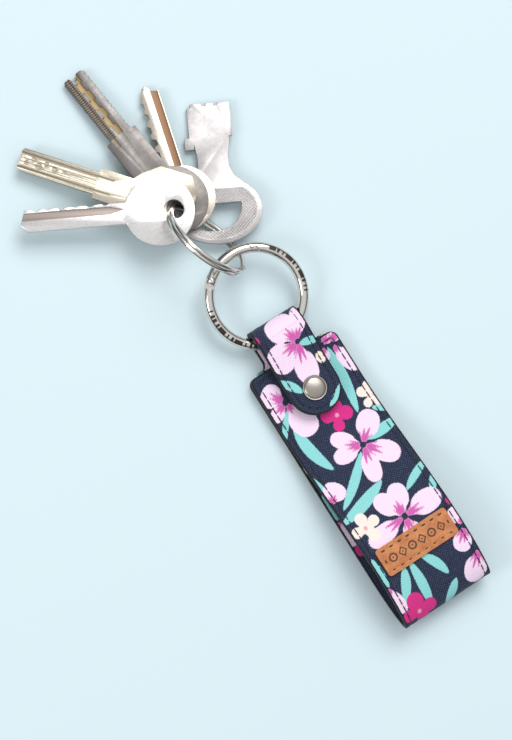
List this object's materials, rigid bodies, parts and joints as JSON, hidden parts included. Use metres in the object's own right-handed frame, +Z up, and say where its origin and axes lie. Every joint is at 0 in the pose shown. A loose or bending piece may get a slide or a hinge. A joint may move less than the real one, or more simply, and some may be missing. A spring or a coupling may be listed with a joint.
{
  "type": "wristlet keychain",
  "caption": "Printed fabric wrist loop with a snap flap over a round spring-gate ring, a leather label, and a split ring of flat metal keys.",
  "frame": {"origin": "centre of the strap's neck on the surface that the strap lies on, below the gate ring's wire", "axes": "+Z up from the surface, +Y along the strap from the loop's nose towards the keys, +X across the strap"},
  "size_m": [0.0924, 0.2386, 0.0319],
  "materials": {
    "printed_canvas": "woven",
    "printed_lining": "woven",
    "black_thread": "twisted",
    "tan_leather": "smooth",
    "brown_thread": "twisted",
    "snap_nickel": "satin",
    "ring_nickel": "polished",
    "spring_steel": "bright",
    "bright_key": "polished",
    "nickel_silver": "brushed",
    "dark_steel": "worn",
    "plated_key": "worn",
    "matt_nickel": "matt"
  },
  "bodies": {
    "strap": {"strap_outer_ply": "printed_canvas", "strap_inner_ply": "printed_lining", "strap_seams": "black_thread", "label": "tan_leather", "label_seam": "brown_thread", "snap_stud": "snap_nickel", "snap_post": "snap_nickel"},
    "flap": {"flap_outer_ply": "printed_canvas", "flap_inner_ply": "printed_lining", "flap_seams": "black_thread", "snap_cap": "snap_nickel", "snap_socket": "snap_nickel"},
    "gate_ring": {"ring_body": "ring_nickel", "gate_hinge_pin": "ring_nickel", "gate_spring": "spring_steel"},
    "gate": {"gate": "ring_nickel"},
    "split_ring": {"split_ring": "ring_nickel"},
    "flat_key": {"flat_key": "matt_nickel"},
    "narrow_key": {"narrow_key": "plated_key"},
    "security_key": {"security_key": "dark_steel"},
    "dimple_key": {"dimple_key": "nickel_silver"},
    "round_head_key": {"round_head_key": "bright_key"}
  },
  "joints": [
    {"name": "flap_lift", "type": "hinge", "parent": "strap", "child": "flap", "pos_m": [0, 0.0018, 0.012], "axis": [-1, 0, 0], "range_deg": [0, 90]},
    {"name": "ring_swing", "type": "hinge", "parent": "strap", "child": "gate_ring", "pos_m": [0, 0.0018, 0.006], "axis": [1, 0, 0], "range_deg": [-60, 60]},
    {"name": "gate_open", "type": "hinge", "parent": "gate_ring", "child": "gate", "pos_m": [-0.01181, 0.03122, 0.01066], "axis": [0, 0.1564, -0.9877], "range_deg": [0, 26], "stiffness_Nm_per_rad": 0.02},
    {"name": "split_swing", "type": "hinge", "parent": "gate", "child": "split_ring", "pos_m": [-0.00031, 0.03558, 0.01135], "axis": [-0.9998, -0.0172, -0.0027], "range_deg": [-30, 45]},
    {"name": "flat_fan", "type": "hinge", "parent": "split_ring", "child": "flat_key", "pos_m": [-0.00276, 0.05564, 0.004], "axis": [-0.0392, 0.0969, 0.9945], "range_deg": [-3, 40]},
    {"name": "narrow_fan", "type": "hinge", "parent": "split_ring", "child": "narrow_key", "pos_m": [-0.00492, 0.05799, 0.0062], "axis": [-0.0392, 0.0969, 0.9945], "range_deg": [-40, 40]},
    {"name": "security_fan", "type": "hinge", "parent": "split_ring", "child": "security_key", "pos_m": [-0.00674, 0.05937, 0.0084], "axis": [-0.0392, 0.0969, 0.9945], "range_deg": [-40, 40]},
    {"name": "dimple_fan", "type": "hinge", "parent": "split_ring", "child": "dimple_key", "pos_m": [-0.00836, 0.06016, 0.0106], "axis": [-0.0392, 0.0969, 0.9945], "range_deg": [-40, 40]},
    {"name": "round_head_fan", "type": "hinge", "parent": "split_ring", "child": "round_head_key", "pos_m": [-0.00982, 0.06049, 0.0128], "axis": [-0.0392, 0.0969, 0.9945], "range_deg": [-40, 40]}
  ]
}
